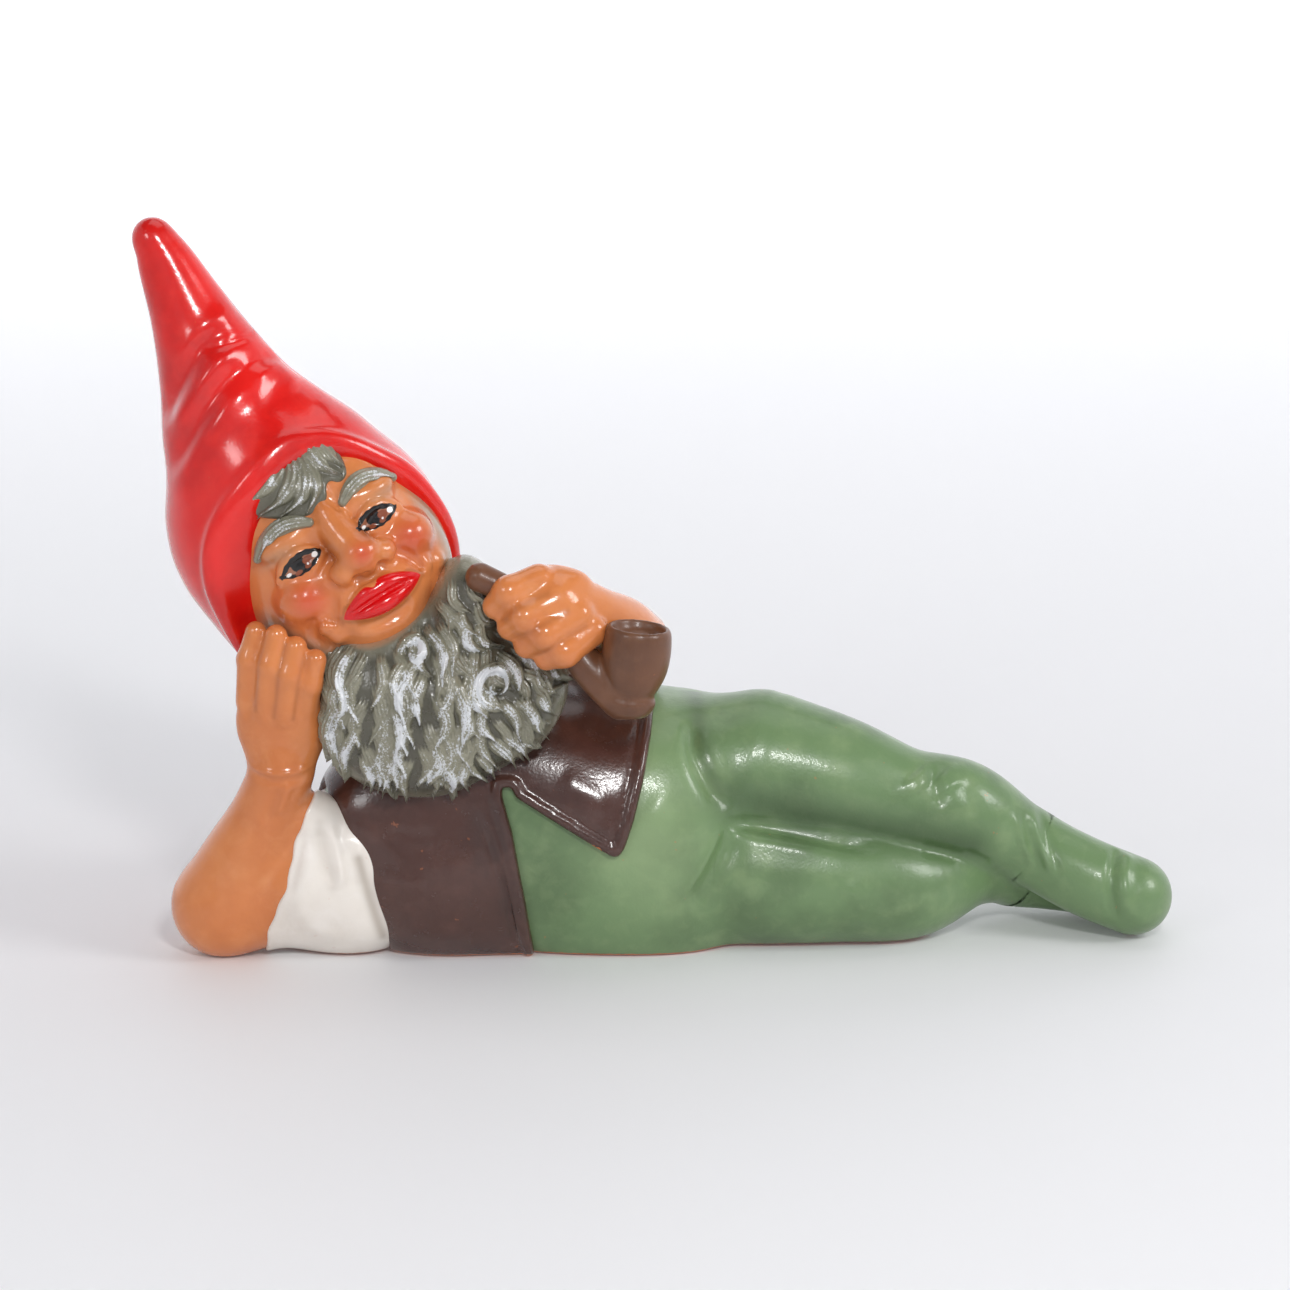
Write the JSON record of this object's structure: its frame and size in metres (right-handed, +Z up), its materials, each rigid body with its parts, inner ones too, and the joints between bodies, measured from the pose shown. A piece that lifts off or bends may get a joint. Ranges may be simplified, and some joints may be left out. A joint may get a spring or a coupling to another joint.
{
  "type": "tomte gnome figurine",
  "caption": "Hollow painted terracotta garden gnome lying on one side, head propped on a hand, holding a pipe.",
  "frame": {"origin": "on the flat underside of the trunk, under the middle of the body, where the figure rests on the floor", "axes": "+Z up, +X along the body from the head end to the feet, -Y to the front, where the face looks"},
  "size_m": [0.3284, 0.1077, 0.2268],
  "materials": {
    "green_enamel": "gloss",
    "brown_enamel": "gloss",
    "white_enamel": "gloss",
    "skin_enamel": "gloss",
    "pipe_enamel": "gloss",
    "red_enamel": "gloss",
    "hair_enamel": "gloss"
  },
  "bodies": {
    "root": {"trunk": "green_enamel", "vest": "brown_enamel", "crossing_leg": "green_enamel", "resting_leg": "green_enamel", "crossing_shoe": "green_enamel", "resting_shoe": "green_enamel", "propping_sleeve": "white_enamel", "propping_forearm": "skin_enamel", "pipe_sleeve": "white_enamel", "pipe_hand": "skin_enamel", "pipe": "pipe_enamel", "head": "skin_enamel", "hat": "red_enamel", "beard": "hair_enamel", "forelock": "hair_enamel", "right_eyebrow": "hair_enamel", "left_eyebrow": "hair_enamel"}
  },
  "joints": []
}
